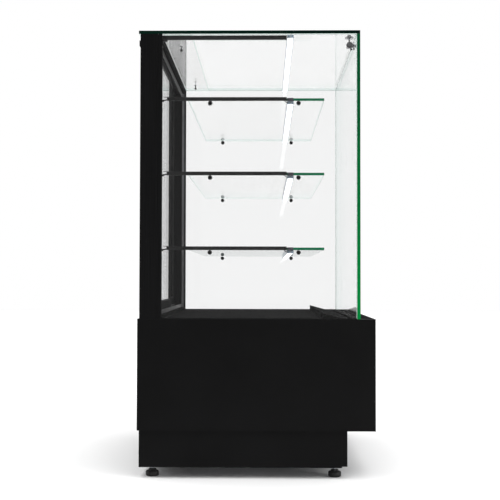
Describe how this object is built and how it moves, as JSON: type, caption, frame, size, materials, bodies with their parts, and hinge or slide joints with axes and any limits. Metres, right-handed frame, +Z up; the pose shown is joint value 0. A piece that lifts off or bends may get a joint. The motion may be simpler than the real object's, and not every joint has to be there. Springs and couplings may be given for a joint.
{
  "type": "bakery display case",
  "caption": "Square-glass refrigerated bakery case on a black base, with glass shelves, lamps and sliding rear doors.",
  "frame": {"origin": "centre of the bounding box, on the floor", "axes": "+X along the length to the right-hand end, -Y to the customer, +Y to the operator, +Z up"},
  "size_m": [0.9, 0.715, 1.35],
  "materials": {
    "black_panel": "satin powder coat",
    "black_extrusion": "satin black anodised",
    "deck_sheet": "satin powder coat",
    "clear_glass": "polished, green edges",
    "polished_metal": "polished",
    "black_plastic": "satin",
    "black_rubber": "matt",
    "lamp_metal": "satin anodised",
    "lamp_diffuser": "opal",
    "lamp_cap": "translucent",
    "foam_skin": "moulded liner",
    "zinc_steel": "zinc plated",
    "black_can": "gloss enamel",
    "coil_fins": "mill finish",
    "fan_plastic": "moulded",
    "copper": "drawn copper",
    "grey_plastic": "extruded",
    "control_plastic": "fine texture",
    "button_plastic": "moulded",
    "switch_plastic": "gloss",
    "foot_plastic": "moulded"
  },
  "bodies": {
    "case": {"air_deflector": "deck_sheet", "base_floor": "zinc_steel", "cable_gland": "black_plastic", "compressor": "black_can", "condenser_coil": "coil_fins", "condenser_fan_frame": "black_plastic", "control_box": "control_plastic", "corner_clamp": "polished_metal", "deck": "deck_sheet", "door_tracks": "black_plastic", "drain_pipe": "grey_plastic", "end_panel_left": "black_panel", "end_panel_right": "black_panel", "evaporator_coil": "coil_fins", "evaporator_fan_frame": "black_plastic", "foot_brackets": "zinc_steel", "front_glass": "clear_glass", "front_ledge": "black_panel", "front_panel": "black_panel", "header": "black_extrusion", "header_trim": "black_extrusion", "insulated_tub": "foam_skin", "lamp_diffusers": "lamp_diffuser", "lamp_end_caps": "lamp_cap", "lamp_housings": "lamp_metal", "lamp_leads": "black_rubber", "plinth_front": "black_panel", "plinth_panels": "black_panel", "rear_glass_strip": "clear_glass", "rear_panel": "black_panel", "rear_post_left": "black_extrusion", "rear_post_right": "black_extrusion", "rear_sill": "black_extrusion", "refrigerant_pipes": "copper", "shelf_bottom": "clear_glass", "shelf_middle": "clear_glass", "shelf_pin_pads": "black_rubber", "shelf_pins": "polished_metal", "shelf_top": "clear_glass", "side_glass_left": "clear_glass", "side_glass_right": "clear_glass", "strip_studs": "polished_metal", "top_glass": "clear_glass", "top_rims": "black_panel", "wire_channels": "black_plastic"},
    "inner_door": {"inner_door_frame": "black_extrusion", "inner_door_glass": "clear_glass"},
    "outer_door": {"outer_door_frame": "black_extrusion", "outer_door_glass": "clear_glass"},
    "condenser_fan": {"condenser_fan": "fan_plastic"},
    "evaporator_fan": {"evaporator_fan": "fan_plastic"},
    "button_set": {"button_set": "button_plastic"},
    "button_up": {"button_up": "button_plastic"},
    "button_down": {"button_down": "button_plastic"},
    "power_switch": {"power_switch": "switch_plastic"},
    "light_switch": {"light_switch": "switch_plastic"},
    "foot_front_left": {"foot_front_left": "foot_plastic"},
    "foot_front_right": {"foot_front_right": "foot_plastic"},
    "foot_rear_left": {"foot_rear_left": "foot_plastic"},
    "foot_rear_right": {"foot_rear_right": "foot_plastic"}
  },
  "joints": [
    {"name": "inner_door_slide", "type": "slide", "parent": "case", "child": "inner_door", "axis": [1, 0, 0], "range_m": [0, 0.386]},
    {"name": "outer_door_slide", "type": "slide", "parent": "case", "child": "outer_door", "axis": [-1, 0, 0], "range_m": [0, 0.386]},
    {"name": "condenser_fan_spin", "type": "hinge", "parent": "case", "child": "condenser_fan", "pos_m": [0.27, 0.255, 0.234], "axis": [0, 1, 0], "continuous": true},
    {"name": "evaporator_fan_spin", "type": "hinge", "parent": "case", "child": "evaporator_fan", "pos_m": [0, 0.005, 0.404], "axis": [0, 1, 0], "continuous": true},
    {"name": "light_switch_rock", "type": "hinge", "parent": "case", "child": "light_switch", "pos_m": [-0.285, 0.3375, 0.419], "axis": [1, 0, 0], "range_deg": [-18, 0]},
    {"name": "power_switch_rock", "type": "hinge", "parent": "case", "child": "power_switch", "pos_m": [-0.311, 0.3375, 0.419], "axis": [1, 0, 0], "range_deg": [-18, 0]},
    {"name": "button_set_press", "type": "slide", "parent": "case", "child": "button_set", "axis": [0, -1, 0], "range_m": [0, 0.001], "stiffness_N_per_m": 200, "springref_m": -0.0005},
    {"name": "button_up_press", "type": "slide", "parent": "case", "child": "button_up", "axis": [0, -1, 0], "range_m": [0, 0.001], "stiffness_N_per_m": 200, "springref_m": -0.0005},
    {"name": "button_down_press", "type": "slide", "parent": "case", "child": "button_down", "axis": [0, -1, 0], "range_m": [0, 0.001], "stiffness_N_per_m": 200, "springref_m": -0.0005},
    {"name": "foot_front_left_turn", "type": "hinge", "parent": "case", "child": "foot_front_left", "pos_m": [-0.39, -0.2385, 0], "axis": [0, 0, 1], "range_deg": [-720, 720]},
    {"name": "foot_front_right_turn", "type": "hinge", "parent": "case", "child": "foot_front_right", "pos_m": [0.39, -0.2385, 0], "axis": [0, 0, 1], "range_deg": [-720, 720]},
    {"name": "foot_rear_left_turn", "type": "hinge", "parent": "case", "child": "foot_rear_left", "pos_m": [-0.39, 0.3165, 0], "axis": [0, 0, 1], "range_deg": [-720, 720]},
    {"name": "foot_rear_right_turn", "type": "hinge", "parent": "case", "child": "foot_rear_right", "pos_m": [0.39, 0.3165, 0], "axis": [0, 0, 1], "range_deg": [-720, 720]}
  ]
}
